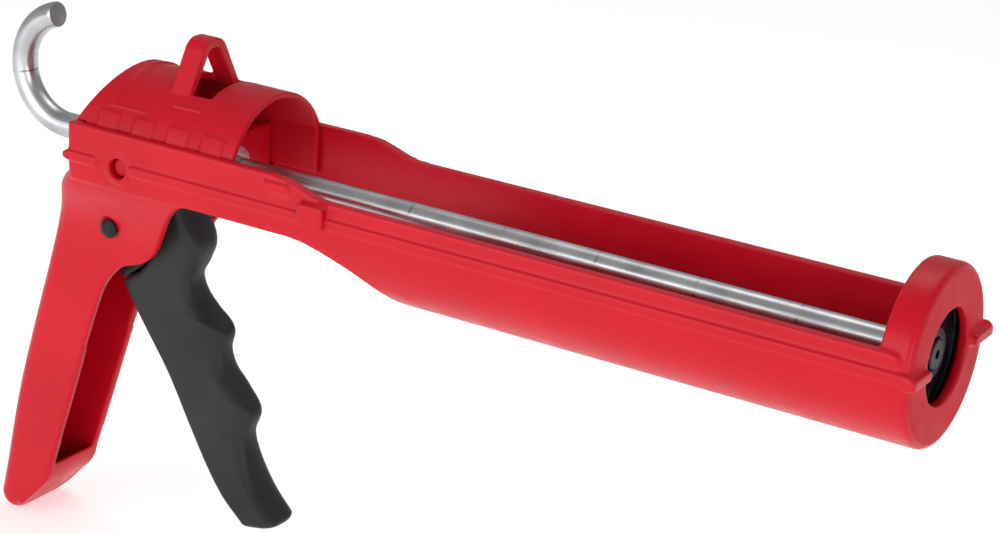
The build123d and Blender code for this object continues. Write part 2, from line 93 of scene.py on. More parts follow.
def smooth_rise(value, low, high):
    """Smooth step 3 t^2 - 2 t^3, from 0 at low to 1 at high."""
    t = np.clip((value - low) / (high - low), 0, 1)
    return t * t * (3 - 2 * t)


def band(value, low, high, soft):
    """1 between low and high, falling smoothly to 0 over soft centred on each limit."""
    rise = smooth_rise(value, low - soft / 2, low + soft / 2)
    return rise * (1 - smooth_rise(value, high - soft / 2, high + soft / 2))


def applied(piece):
    """Replace a piece's mesh with what its modifiers make of it, and drop the modifiers."""
    graph = bpy.context.evaluated_depsgraph_get()
    piece.data = bpy.data.meshes.new_from_object(piece.evaluated_get(graph))
    piece.modifiers.clear()


def moulded(node, name, voxel, passes, triangles=None, relief=None):
    """Round-cornered copy of a CAD node.

    The node's triangles are joined, and resampled as the zero surface of their distance field on a
    grid of voxel mm. passes of neighbour averaging then set the radius of the corners. relief gives
    a displacement in mm for positions and normals, and the mesh is thinned to triangles at the end.
    """
    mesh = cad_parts[node].data.copy()
    joined = bmesh.new()
    joined.from_mesh(mesh)
    bmesh.ops.remove_doubles(joined, verts=joined.verts, dist=WELD * MM)
    joined.to_mesh(mesh)
    joined.free()
    piece = bpy.data.objects.new(name, mesh)
    bpy.context.scene.collection.objects.link(piece)
    skin_grid = piece.modifiers.new("skin", "REMESH")
    skin_grid.mode = "VOXEL"
    skin_grid.voxel_size = voxel * MM
    averaging = piece.modifiers.new("corners", "SMOOTH")
    averaging.factor = AVERAGING
    averaging.iterations = passes
    applied(piece)
    if relief is not None:
        mesh = piece.data
        normals = np.empty(len(mesh.vertices) * 3)
        mesh.vertex_normals.foreach_get("vector", normals)
        moved = positions(mesh) + relief(positions(mesh), normals.reshape(-1, 3))
        mesh.vertices.foreach_set("co", (moved * MM).ravel())
        mesh.update()
    count = sum(len(face.vertices) - 2 for face in piece.data.polygons)
    if triangles is not None and count > triangles:
        thinning = piece.modifiers.new("thin", "DECIMATE")
        thinning.ratio = triangles / count
        applied(piece)
    piece.data.shade_smooth()
    piece.data.materials.clear()
    return piece


def noise_pattern(tree, coordinates, size, detail=2.0, stretch=(1.0, 1.0, 1.0)):
    """Noise factor whose features are about size mm across, on the coordinates' output."""
    mapping = tree.nodes.new("ShaderNodeMapping")
    mapping.inputs["Scale"].default_value = stretch
    tree.links.new(coordinates, mapping.inputs["Vector"])
    noise = tree.nodes.new("ShaderNodeTexNoise")
    noise.inputs["Scale"].default_value = 1 / (size * MM)
    noise.inputs["Detail"].default_value = detail
    tree.links.new(mapping.outputs["Vector"], noise.inputs["Vector"])
    return noise.outputs["Fac"]


def ranged(tree, factor, low, high, start=0.3, stop=0.7):
    """factor from start to stop, spread over low to high."""
    spread = tree.nodes.new("ShaderNodeMapRange")
    spread.inputs["From Min"].default_value = start
    spread.inputs["From Max"].default_value = stop
    spread.inputs["To Min"].default_value = low
    spread.inputs["To Max"].default_value = high
    tree.links.new(factor, spread.inputs["Value"])
    return spread.outputs["Result"]


def blended(tree, factor, first, second):
    """Colour between first and second by factor."""
    mix = tree.nodes.new("ShaderNodeMix")
    mix.data_type = "RGBA"
    for socket, colour in (("A_Color", first), ("B_Color", second)):
        target = next(s for s in mix.inputs if s.identifier == socket)
        if isinstance(colour, tuple):
            target.default_value = (*colour, 1.0)
        else:
            tree.links.new(colour, target)
    tree.links.new(factor, next(s for s in mix.inputs if s.identifier == "Factor_Float"))
    return next(s for s in mix.outputs if s.identifier == "Result_Color")


def bumped(tree, height, depth, below=None):
    """Normal from a height pattern, depth mm deep, over an earlier normal if one is given."""
    bump = tree.nodes.new("ShaderNodeBump")
    bump.inputs["Strength"].default_value = 1.0
    bump.inputs["Distance"].default_value = depth * MM
    tree.links.new(height, bump.inputs["Height"])
    if below is not None:
        tree.links.new(below, bump.inputs["Normal"])
    return bump.outputs["Normal"]


def new_material(name):
    """Empty node material: its tree, its shader and the Object coordinates."""
    material = bpy.data.materials.new(name)
    material.use_nodes = True
    tree = material.node_tree
    shader = tree.nodes["Principled BSDF"]
    place = tree.nodes.new("ShaderNodeTexCoord")
    return material, tree, shader, place.outputs["Object"]


def plastic(name, colour, deep, rough, peel, peel_depth):
    """Moulded plastic: cloudy colour, drifting gloss, orange peel of size peel mm and fine grain."""
    material, tree, shader, place = new_material(name)
    clouds = ranged(tree, noise_pattern(tree, place, 38.0), 0.0, 1.0)
    tree.links.new(blended(tree, clouds, deep, colour), shader.inputs["Base Color"])
    gloss = ranged(tree, noise_pattern(tree, place, 9.0, 4.0), rough[0], rough[1])
    tree.links.new(gloss, shader.inputs["Roughness"])
    skin = bumped(tree, noise_pattern(tree, place, peel), peel_depth)
    grain = bumped(tree, noise_pattern(tree, place, peel / 5), peel_depth / 8, skin)
    tree.links.new(grain, shader.inputs["Normal"])
    shader.inputs["IOR"].default_value = PLASTIC_IOR
    shader.inputs["Specular IOR Level"].default_value = PLASTIC_SPECULAR
    return material


def side_marks(xyz, normals):
    """Two raised bars on each side wall, pushed straight out of its flat face."""
    x, y, z = xyz.T
    facing = (np.abs(y) > WALL_FACE_Y) & (np.abs(normals[:, 1]) > MARK_FACING)
    along = band(x, *MARK_X, 0.9)
    rise = UPPER_MARK_RISE * band(z, *UPPER_MARK_Z, 0.8) + LOWER_MARK_RISE * band(z, *LOWER_MARK_Z, 0.9)
    out = np.zeros_like(xyz)
    out[:, 1] = np.sign(y) * facing * along * rise
    return out


red_body = plastic("red_body", BODY_RED, BODY_RED_DEEP, (0.30, 0.42), 1.6, 0.010)
matt_nose = plastic("matt_nose", BODY_RED, BODY_RED_DEEP, (0.36, 0.48), 1.6, 0.010)
matt_nose.node_tree.nodes["Principled BSDF"].inputs["Specular IOR Level"].default_value = NOSE_SPECULAR
cradle = moulded("frame", "cradle_and_handle", FRAME_VOXEL, FRAME_PASSES, FRAME_TRIANGLES, side_marks)
cradle.data.materials.append(red_body)
cradle.data.materials.append(matt_nose)
facing = np.empty(len(cradle.data.polygons) * 3)
middle = np.empty_like(facing)
cradle.data.polygons.foreach_get("normal", facing)
cradle.data.polygons.foreach_get("center", middle)
on_nose = (facing[::3] > NOSE_FACING) & (np.abs(middle[::3]) < NOSE_DEPTH * MM)
cradle.data.polygons.foreach_set("material_index", on_nose.astype(np.int32))
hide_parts("frame")
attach(cradle, "frame")

# ------------------------------------------------------------------------------------------------
# Hood: a second red moulding that snaps over the housing, with a ladder loop on its top.
# Four soft pads run along each flank, a recessed panel crosses the rear, and a thin raised
# line frames the foot of the loop.
HOOD_AXIS_Z = 3.3
HOOD_OUTER = 26.8
PAD_STARTS = np.array((-300.3, -285.5, -271.0, -256.7))
PAD_LENGTH = 9.0
PAD_ANGLES = (18.6, 34.0)
PAD_RISE = 0.8
PANEL_X = (-296.0, -283.5)
PANEL_FROM = 40.0
PANEL_SINK = 0.5
PANEL_LIP = 0.22
OUTLINE_X = (-273.6, -262.0)
OUTLINE_ANGLE = 50.0
OUTLINE_WIDTH = 1.0
OUTLINE_RISE = 0.45
OUTLINE_TOP = 62.0
HOOD_VOXEL = 0.42
HOOD_PASSES = 5
HOOD_TRIANGLES = 170_000
HOOD_RED = (0.58, 0.003, 0.016)
HOOD_RED_DEEP = (0.50, 0.002, 0.012)


def hood_relief(xyz, normals):
    """Radial rise in mm as a function of x and of the angle above the horizontal."""
    x, y, z = xyz.T
    reach = np.hypot(y, z - HOOD_AXIS_Z)
    angle = np.degrees(np.arctan2(z - HOOD_AXIS_Z, np.abs(y)))
    radial = np.stack((0 * x, y / reach, (z - HOOD_AXIS_Z) / reach), 1)
    skin = (reach > HOOD_OUTER - 0.6) & (reach < HOOD_OUTER + 0.9) & ((normals * radial).sum(1) > 0.7)
    degree = math.degrees(1 / HOOD_OUTER)
    pads = sum(band(x, start, start + PAD_LENGTH, 0.9) for start in PAD_STARTS)
    rise = PAD_RISE * pads * band(angle, *PAD_ANGLES, 0.9 * degree)
    inside = band(x, *PANEL_X, 0.6) * smooth_rise(angle, PANEL_FROM - 0.6, PANEL_FROM + 0.6)
    wider = band(x, PANEL_X[0] - 0.9, PANEL_X[1] + 0.9, 0.6)
    wider = wider * smooth_rise(angle, PANEL_FROM - 2.5, PANEL_FROM - 1.3)
    rise += PANEL_LIP * wider - (PANEL_SINK + PANEL_LIP) * inside
    edge = OUTLINE_WIDTH * degree / 2
    foot = band(x, *OUTLINE_X, 0.8) * band(angle, OUTLINE_ANGLE - edge, OUTLINE_ANGLE + edge, 0.8 * degree)
    upright = band(x, OUTLINE_X[1] - OUTLINE_WIDTH, OUTLINE_X[1], 0.8)
    upright = upright * band(angle, OUTLINE_ANGLE, OUTLINE_TOP, degree)
    rise += OUTLINE_RISE * np.maximum(foot, upright)
    return radial * (skin * rise)[:, None]


red_hood = plastic("red_hood", HOOD_RED, HOOD_RED_DEEP, (0.36, 0.50), 1.2, 0.010)
hood = moulded("hood", "hood_with_loop", HOOD_VOXEL, HOOD_PASSES, HOOD_TRIANGLES, hood_relief)
hood.data.materials.append(red_hood)
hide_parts("hood")
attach(hood, "frame")

# ------------------------------------------------------------------------------------------------
# Trigger: a matt black grip moulded over the lever. Its front has four finger grooves with round
# ridges between them, and its flat sides are dished towards each groove.
GRIP_HALF = 9.0
GRIP_FRONT = (
    (-279.5, -12.4), (-277.6, -14.8), (-275.6, -20.0), (-270.6, -29.5), (-272.2, -36.5),
    (-275.0, -43.0), (-272.4, -49.6), (-266.8, -54.8), (-260.6, -59.8), (-261.4, -67.0),
    (-259.0, -74.5), (-253.4, -80.8), (-248.4, -87.2), (-250.6, -96.0), (-247.4, -107.0),
    (-242.2, -116.0), (-235.4, -123.6),
)
GRIP_BACK = (
    (-281.5, -12.9), (-283.6, -14.6), (-285.0, -19.0), (-286.0, -24.5), (-287.4, -30.8),
    (-290.9, -37.2), (-295.2, -43.0), (-302.0, -47.8), (-301.4, -51.6), (-294.4, -61.6),
    (-289.0, -69.0), (-283.5, -77.0), (-278.6, -85.6), (-273.0, -95.6), (-265.6, -108.4),
    (-258.0, -118.8), (-249.6, -126.4),
)
GRIP_TIP = (-241.5, -128.3)
GROOVES = ((-276.0, -42.0, 11.0), (-264.0, -67.5, 9.0), (-252.0, -97.0, 12.0))
GRIP_TOP = (-280.6, -12.1)
GROOVE_DISH = 0.20
GRIP_TAPER = 0.05
FRONT_POWER = 2.5
BACK_POWER = 8.0
GRIP_BLACK = (0.018, 0.018, 0.019)
GRIP_GREY = (0.030, 0.0295, 0.031)


def flowing(points, count):
    """Catmull-Rom curve through points, resampled to count stations by their index."""
    p = np.asarray(points, float)
    p = np.vstack((2 * p[0] - p[1], p, 2 * p[-1] - p[-2]))
    s = np.linspace(0, len(points) - 1, count)
    i = np.minimum(s.astype(int), len(points) - 2)
    t = (s - i)[:, None]
    a, b, c, d = p[i], p[i + 1], p[i + 2], p[i + 3]
    return 0.5 * (2 * b + (c - a) * t + (2 * a - 5 * b + 4 * c - d) * t**2 + (3 * b - a - 3 * c + d) * t**3)


def skinned(name, rings, looped=False, crease=35.0):
    """Closed surface through an (m, n, 3) array of rings in mm.

    Ring i joins ring i + 1 by quads and each ring closes on itself. The two ends are closed by fans
    on their mean points, or the last ring joins the first when looped.
    """
    m, n, _ = rings.shape
    index = np.arange(m * n).reshape(m, n)
    points = rings.reshape(-1, 3)
    rows = np.vstack((index, index[:1])) if looped else index
    near, far = rows[:-1], rows[1:]
    faces = np.stack((near, np.roll(near, -1, 1), np.roll(far, -1, 1), far), -1).reshape(-1, 4).tolist()
    if not looped:
        points = np.vstack((points, rings[[0, -1]].mean(1)))
        for ring, hub in ((index[0], m * n), (index[-1], m * n + 1)):
            faces += np.stack((ring, np.roll(ring, -1), np.full(n, hub)), -1).tolist()
    mesh = bpy.data.meshes.new(name)
    mesh.from_pydata((points * MM).tolist(), [], faces)
    shaped = bmesh.new()
    shaped.from_mesh(mesh)
    bmesh.ops.recalc_face_normals(shaped, faces=shaped.faces)
    shaped.to_mesh(mesh)
    shaped.free()
    mesh.shade_smooth()
    mesh.set_sharp_from_angle(angle=math.radians(crease))
    piece = bpy.data.objects.new(name, mesh)
    bpy.context.scene.collection.objects.link(piece)
    return piece


def grip_rings(stations, around):
    """Sections between the front and back curves.

    A section is a super-ellipse, round at the front (FRONT_POWER) and square at the back (BACK_POWER). Its
    half-width is dished towards the front by a bell curve about the bottom of each groove.
    """
    front, back = flowing(GRIP_FRONT, stations), flowing(GRIP_BACK, stations)
    turn = np.linspace(0, 2 * np.pi, around, endpoint=False)
    power = FRONT_POWER + (BACK_POWER - FRONT_POWER) * smooth_rise(-np.cos(turn), -0.4, 0.5)
    scale = (np.abs(np.cos(turn)) ** power + np.abs(np.sin(turn)) ** power) ** (-1 / power)
    chord, side = np.cos(turn) * scale, np.sin(turn) * scale
    middle, half = (front + back) / 2, (front - back) / 2
    xz = middle[:, None] + half[:, None] * chord[None, :, None]
    dish = sum(
        np.exp(-(((xz[..., 0] - gx) ** 2 + (xz[..., 1] - gz) ** 2) / reach**2)) for gx, gz, reach in GROOVES
    )
    taper = 1 - GRIP_TAPER * smooth_rise(np.linspace(0, 1, stations), 0.5, 1.0)[:, None]
    width = GRIP_HALF * side[None] * (1 - GROOVE_DISH * dish) * taper
    return np.stack((xz[..., 0], width, xz[..., 1]), -1)


def rounded_ends(rings, tips, steps=7):
    """Close a loft smoothly: each end ring shrinks on a quarter circle towards its tip point."""
    rings = list(rings)
    for end, tip in ((0, tips[0]), (-1, tips[1])):
        base = rings[end]
        middle = base.mean(0)
        for step in np.sin(np.linspace(0, np.pi / 2, steps + 1)[1:]):
            shrink = math.sqrt(max(1 - step**2, 0.0004))
            ring = middle + (base - middle) * shrink + (np.asarray(tip) - middle) * step
            rings = [ring] + rings if end == 0 else rings + [ring]
    return np.array(rings)


grip_ends = [(x, 0, z) for x, z in (GRIP_TOP, GRIP_TIP)]
grip_sections = rounded_ends(grip_rings(230, 96), grip_ends)
black_grip = plastic("black_grip", GRIP_GREY, GRIP_BLACK, (0.42, 0.55), 0.9, 0.012)
grip = skinned("trigger_grip_cover", grip_sections, crease=180.0)
grip.data.materials.append(black_grip)
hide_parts("trigger_grip")
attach(grip, "trigger")

# ------------------------------------------------------------------------------------------------
# Trigger lever: the stiff nylon core of the trigger, between the handle's cheeks. It carries the
# grip, turns on the pivot pin and pushes the drive plates with the pin at its upper end.
LEVER_VOXEL = 0.4
LEVER_PASSES = 4
black_nylon = plastic("black_nylon", (0.014, 0.013, 0.013), (0.009, 0.009, 0.009), (0.34, 0.48), 1.0, 0.008)
lever = moulded("trigger_lever", "trigger_core", LEVER_VOXEL, LEVER_PASSES)
lever.data.materials.append(black_nylon)
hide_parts("trigger_lever")
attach(lever, "trigger")

# ------------------------------------------------------------------------------------------------
# Rod: 9 mm zinc-plated steel, drawn straight and bent into a hook behind. The drawing leaves fine
# lines along it, and the brake has marked it with faint rings.
ROD_RADIUS = 4.5
ROD_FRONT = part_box("rod")[1].x / MM
SPIGOT_LENGTH = 7.2
SPIGOT_RADIUS = 3.0
HOOK_START = -334.0
HOOK_RADIUS = 20.0
HOOK_SWEEP = math.radians(167.0)
RING_SPACING = 35.0
RING_GREY = (0.10, 0.10, 0.11)


def rod_rings(around=48):
    """Circles carried along the rod: spigot, shoulder, straight and hook, with chamfered ends.

    Station s runs back from the front. On the straight x falls with s; on the hook the centre turns
    about (HOOK_START, HOOK_RADIUS) by s / HOOK_RADIUS.
    """
    shoulder = ROD_FRONT - SPIGOT_LENGTH
    straight = shoulder - HOOK_START
    arc = HOOK_RADIUS * HOOK_SWEEP
    total = straight + arc
    s = np.concatenate((
        (-SPIGOT_LENGTH, -SPIGOT_LENGTH + 0.01, -SPIGOT_LENGTH + 0.4, -0.02, 0.0, 0.5),
        np.linspace(1.0, straight, 120)[:-1],
        np.linspace(straight, total - 0.6, 90),
        (total - 0.25, total),
    ))
    radius = np.full(len(s), ROD_RADIUS)
    radius[:6] = (0.3, SPIGOT_RADIUS - 0.4, SPIGOT_RADIUS, SPIGOT_RADIUS, ROD_RADIUS - 0.5, ROD_RADIUS)
    radius[-2:] = (ROD_RADIUS - 0.18, ROD_RADIUS - 0.7)
    turn = np.clip((s - straight) / HOOK_RADIUS, 0, None)
    x = np.where(s < straight, shoulder - s, HOOK_START - HOOK_RADIUS * np.sin(turn))
    z = HOOK_RADIUS * (1 - np.cos(turn))
    inward = np.stack((np.sin(turn), 0 * turn, np.cos(turn)), 1)
    sideways = np.array((0.0, 1.0, 0.0))
    phi = np.linspace(0, 2 * np.pi, around, endpoint=False)
    circle = np.cos(phi)[None, :, None] * inward[:, None] + np.sin(phi)[None, :, None] * sideways
    centre = np.stack((x, 0 * x, z), 1)
    rings = centre[:, None] + radius[:, None, None] * circle
    run = np.stack(np.broadcast_arrays(s[:, None], ROD_RADIUS * np.cos(phi), ROD_RADIUS * np.sin(phi)), -1)
    return rings, run


def steel(name, colour, deep, rough, stretch=(1.0, 1.0, 1.0), run=None, rings=0.0):
    """Plated steel: drawn or rolled lines stretched one way, cloudy gloss and optional ring marks."""
    material, tree, shader, place = new_material(name)
    if run is not None:
        attribute = tree.nodes.new("ShaderNodeAttribute")
        attribute.attribute_name = run
        place = attribute.outputs["Vector"]
    clouds = ranged(tree, noise_pattern(tree, place, 14.0, 5.0), 0.0, 1.0)
    colour_now = blended(tree, clouds, deep, colour)
    lines = noise_pattern(tree, place, 0.8, 4.0, stretch)
    gloss = ranged(tree, lines, rough[0], rough[1])
    if rings:
        split = tree.nodes.new("ShaderNodeSeparateXYZ")
        tree.links.new(place, split.inputs["Vector"])
        wobble = tree.nodes.new("ShaderNodeMath")
        wobble.operation = "PINGPONG"
        wobble.inputs[1].default_value = rings * MM / 2
        tree.links.new(split.outputs["X"], wobble.inputs[0])
        mark = ranged(tree, wobble.outputs["Value"], 1.0, 0.0, 0.00015, 0.0006)
        broken = ranged(tree, noise_pattern(tree, place, 3.0), 0.0, 0.75, 0.42, 0.6)
        faint = tree.nodes.new("ShaderNodeMath")
        faint.operation = "MULTIPLY"
        tree.links.new(mark, faint.inputs[0])
        tree.links.new(broken, faint.inputs[1])
        colour_now = blended(tree, faint.outputs["Value"], colour_now, RING_GREY)
    tree.links.new(colour_now, shader.inputs["Base Color"])
    tree.links.new(gloss, shader.inputs["Roughness"])
    tree.links.new(bumped(tree, lines, 0.004), shader.inputs["Normal"])
    shader.inputs["Metallic"].default_value = 1.0
    return material


drawn_zinc = steel(
    "drawn_zinc", (0.62, 0.63, 0.645), (0.40, 0.41, 0.425), (0.24, 0.42),
    stretch=(0.03, 1.0, 1.0), run="run", rings=RING_SPACING,
)
rod_sections, rod_run = rod_rings()
rod = skinned("push_rod", rod_sections)
run_values = np.vstack((rod_run.reshape(-1, 3), rod_run[[0, -1]].mean(1))) * MM
rod.data.attributes.new("run", "FLOAT_VECTOR", "POINT").data.foreach_set("vector", run_values.ravel())
rod.data.materials.append(drawn_zinc)
sawn_end = steel("sawn_end", (0.34, 0.34, 0.35), (0.20, 0.20, 0.21), (0.45, 0.62))
rod.data.materials.append(sawn_end)
centres = np.empty(len(rod.data.polygons) * 3)
rod.data.polygons.foreach_get("center", centres)
end_ring = rod_sections[-1].mean(0)
end_run = end_ring - rod_sections[-4].mean(0)
beyond = (centres.reshape(-1, 3) / MM - end_ring) @ end_run / np.linalg.norm(end_run)
from_end = np.linalg.norm(centres.reshape(-1, 3) / MM - end_ring, axis=1)
cut_face = (np.abs(beyond) < 0.3) & (from_end < ROD_RADIUS)
rod.data.polygons.foreach_set("material_index", cut_face.astype(np.int32))
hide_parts("rod")
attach(rod, "rod")

# ------------------------------------------------------------------------------------------------
# Piston: a black nylon disc with a rim, a hub and four round pockets between broad spokes, moulded
# in one piece. The rod pushes it against the cartridge's floor.
PISTON_RADIUS = 21.5
PISTON_FRONT = -5.4
PISTON_REAR = -11.2
PISTON_FACE = -6.4
WEB_FRONT = -9.2
HUB_FRONT = -4.0
HUB_RADIUS = 8.0
HUB_SEAT_RADIUS = 5.2
HUB_SEAT = -4.9
RIM_WIDTH = 2.4
POCKET_CENTRE = 13.6
POCKET_RADIUS = 5.3
POCKET_LIP = 0.35


def piston_rings(around=288):
    """Height field on a polar grid: the front face's x for radius r and angle phi, then the rim.

    Hub and rim are smooth steps up from the face. Four pockets are smooth steps down by distance from
    their centres, each with a thin raised lip.
    """
    r = np.concatenate((np.linspace(0.3, PISTON_RADIUS - 0.6, 84), (PISTON_RADIUS - 0.25, PISTON_RADIUS)))
    phi = np.linspace(0, 2 * np.pi, around, endpoint=False)
    rr, pp = np.meshgrid(r, phi, indexing="ij")
    folded = (pp + np.pi / 4) % (np.pi / 2) - np.pi / 4
    away = np.hypot(rr * np.cos(folded) - POCKET_CENTRE, rr * np.sin(folded))
    rim = smooth_rise(rr, PISTON_RADIUS - RIM_WIDTH - 0.2, PISTON_RADIUS - RIM_WIDTH + 0.2)
    hub = 1 - smooth_rise(rr, HUB_RADIUS - 0.2, HUB_RADIUS + 0.2)
    seat = 1 - smooth_rise(rr, HUB_SEAT_RADIUS - 0.15, HUB_SEAT_RADIUS + 0.15)
    pocket = 1 - smooth_rise(away, POCKET_RADIUS - 0.25, POCKET_RADIUS + 0.15)
    lip = POCKET_LIP * band(away, POCKET_RADIUS, POCKET_RADIUS + 0.7, 0.4)
    face = PISTON_FACE + (PISTON_FRONT - PISTON_FACE) * rim + (HUB_FRONT - PISTON_FACE) * hub
    face = face + lip * (1 - rim) * (1 - hub) + (WEB_FRONT - face) * pocket
    face = face + (HUB_SEAT - HUB_FRONT) * seat
    face[-2:] = ((PISTON_FRONT - 0.08,), (PISTON_FRONT - 0.5,))
    back_r = np.array((PISTON_RADIUS, PISTON_RADIUS - 0.4, PISTON_RADIUS - 6, 0.3))
    back_x = np.array((PISTON_REAR + 0.4, PISTON_REAR, PISTON_REAR, PISTON_REAR))
    radius = np.vstack((rr, np.repeat(back_r[:, None], around, 1)))
    x = np.vstack((face, np.repeat(back_x[:, None], around, 1)))
    angle = np.broadcast_to(phi, radius.shape)
    return np.stack((x, radius * np.cos(angle), radius * np.sin(angle)), -1)


piston = skinned("piston_disc", piston_rings(), crease=50.0)
piston.data.materials.append(black_nylon)
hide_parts("piston")
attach(piston, "piston")

# ------------------------------------------------------------------------------------------------
# Turned steel: the piston's washer and socket screw, the bushes and washer that guide the rod, and
# the pins. Each is a profile spun about its axis.
BUSH_RADIUS = 6.5
BUSH_FLANGE_RADIUS = 8.5
BUSH_FLANGE = 1.5
ROD_CLEARANCE = 0.05
FRONT_GUIDE = (-266.0, -262.0)
REAR_GUIDE = (-310.0, -305.5)
SEAT_WASHER = (-267.0, -266.0, 5.1, 10.0)
PISTON_WASHER = (PISTON_REAR - 0.8, PISTON_REAR - 0.05, 3.05, 7.5)
THRUST_PIN = (-6.8, 6.8, 2.0)
BRAKE_PIN = (-12.9, 12.9, 1.25, 0.2)
PIVOT = (-300.5, -26.0)
THRUST = (-299.0, -10.5)
BRAKE = (-312.0, -14.0)
CHEEK = 17.6
CLIP = (CHEEK, CHEEK + 0.8, 2.5, 4.1)
# The pivot pin's low round head, its shank and its chamfered tip.
PIVOT_PIN = (
    (-CHEEK - 1.8, 0.2), (-CHEEK - 1.8, 1.9), (-CHEEK - 1.65, 2.1), (-CHEEK - 1.35, 3.1),
    (-CHEEK - 1.05, 3.4), (-CHEEK, 3.4), (-CHEEK, 2.5), (CHEEK + 1.2, 2.5), (CHEEK + 1.6, 2.1),
    (CHEEK + 1.6, 0.2),
)
SCREW_HEAD = 1.6


def spun(name, profile, axis="X", centre=(0.0, 0.0), around=72, looped=False):
    """Surface of revolution: each (along, radius) pair of the profile is carried round the axis."""
    along, radius = np.asarray(profile, float).T
    phi = np.linspace(0, 2 * np.pi, around, endpoint=False)
    first = radius[:, None] * np.cos(phi)
    second = radius[:, None] * np.sin(phi)
    along = np.broadcast_to(along[:, None], first.shape)
    if axis == "X":
        rings = np.stack((along, first + centre[0], second + centre[1]), -1)
    else:
        rings = np.stack((first + centre[0], along, second + centre[1]), -1)
    return skinned(name, rings, looped, 30.0)


def ring_profile(start, stop, inner, outer, edge=0.15):
    """Closed washer section with its four corners cut by edge."""
    return (
        (start, inner + edge), (start, outer - edge), (start + edge, outer), (stop - edge, outer),
        (stop, outer - edge), (stop, inner + edge), (stop - edge, inner), (start + edge, inner),
    )


def pin_profile(start, stop, radius, edge=0.35):
    """Plain pin with chamfered ends."""
    return (
        (start, 0.2), (start, radius - edge), (start + edge, radius), (stop - edge, radius),
        (stop, radius - edge), (stop, 0.2),
    )


def bush_profile(sleeve, seat, inner):
    """Bush section: a sleeve from sleeve to seat, then a flange one BUSH_FLANGE thick."""
    front = seat + BUSH_FLANGE
    return (
        (sleeve, inner + 0.3), (sleeve, BUSH_RADIUS - 0.2), (sleeve + 0.2, BUSH_RADIUS), (seat, BUSH_RADIUS),
        (seat, BUSH_FLANGE_RADIUS - 0.2), (seat + 0.2, BUSH_FLANGE_RADIUS), (front - 0.3, BUSH_FLANGE_RADIUS),
        (front, BUSH_FLANGE_RADIUS - 0.3), (front, inner + 0.3), (front - 0.3, inner), (sleeve + 0.3, inner),
    )


bright_zinc = steel("bright_zinc", (0.64, 0.65, 0.67), (0.52, 0.53, 0.56), (0.25, 0.4))
blacked_steel = steel("blacked_steel", (0.055, 0.055, 0.06), (0.030, 0.030, 0.034), (0.32, 0.5))
bore = ROD_RADIUS + ROD_CLEARANCE
screw_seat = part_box("piston_screw")[1].x / MM - SCREW_HEAD
along_rod = ("X", (0, 0))
turned_parts = (
    ("piston_washer", "piston_washer_disc", ring_profile(*PISTON_WASHER), along_rod, True, bright_zinc, "rod"),
    ("front_bush", "front_rod_bush", bush_profile(*FRONT_GUIDE, bore), along_rod, True, bright_zinc, "frame"),
    ("rear_bush", "rear_rod_bush", bush_profile(*REAR_GUIDE, bore), along_rod, True, bright_zinc, "frame"),
    ("spring_washer", "spring_seat_washer", ring_profile(*SEAT_WASHER), along_rod, True, bright_zinc, "frame"),
    ("thrust_pin", "thrust_cross_pin", pin_profile(*THRUST_PIN), ("Y", THRUST), False, bright_zinc, "trigger"),
    ("brake_pin", "brake_hinge_pin", pin_profile(*BRAKE_PIN), ("Y", BRAKE), False, bright_zinc, "frame"),
    ("pin_clip", "pin_retaining_ring", ring_profile(*CLIP), ("Y", PIVOT), True, blacked_steel, "frame"),
    ("pivot_pin", "trigger_pivot_pin", PIVOT_PIN, ("Y", PIVOT), False, black_nylon, "frame"),
)
for node, name, profile, about, looped, finish, body in turned_parts:
    part = spun(name, profile, *about, looped=looped)
    part.data.materials.append(finish)
    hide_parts(node)
    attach(part, body)

# ------------------------------------------------------------------------------------------------
# Socket screw: blacked steel, with a low round head, a hexagon socket and a plain shank. It goes
# through the piston's hub into the end of the rod and clamps the piston there.
SOCKET = 1.6
SOCKET_DEPTH = 1.1
SHANK = 12.0
SCREW_STEPS = (
    (-SHANK, 0.2), (-SHANK, 1.4), (0.0, 1.5), (0.0, 4.6), (0.2, 4.8), (1.2, 4.8), (SCREW_HEAD, 4.3),
)


def screw_rings(around=72):
    """Rings from the shank's tip to the head's rim and down into a hexagon socket.

    A socket ring has radius SOCKET cos(30) / cos(angle within its side), a hexagon.
    """
    phi = np.linspace(0, 2 * np.pi, around, endpoint=False)
    flat = SOCKET * math.cos(math.pi / 6) / np.cos((phi % (math.pi / 3)) - math.pi / 6)
    floor = SCREW_HEAD - SOCKET_DEPTH
    along = [a for a, _ in SCREW_STEPS] + [SCREW_HEAD, floor, floor]
    radius = np.array([np.full(around, r) for _, r in SCREW_STEPS] + [flat, flat, flat * 0.1])
    x = np.repeat(screw_seat + np.array(along)[:, None], around, 1)
    return np.stack((x, radius * np.cos(phi), radius * np.sin(phi)), -1)


screw = skinned("piston_socket_screw", screw_rings(), crease=30.0)
screw.data.materials.append(blacked_steel)
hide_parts("piston_screw")
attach(screw, "rod")

# ------------------------------------------------------------------------------------------------
# Springs: round spring wire coiled about the rod. The long one, behind the front bush, returns the
# drive plates; the short one holds the brake plate away from the housing.
COILS = (
    ("drive_spring", "drive_spring_coil", 0.8, 6.8, 8.0),
    ("brake_spring", "brake_spring_coil", 0.4, 5.8, 1.5),
)


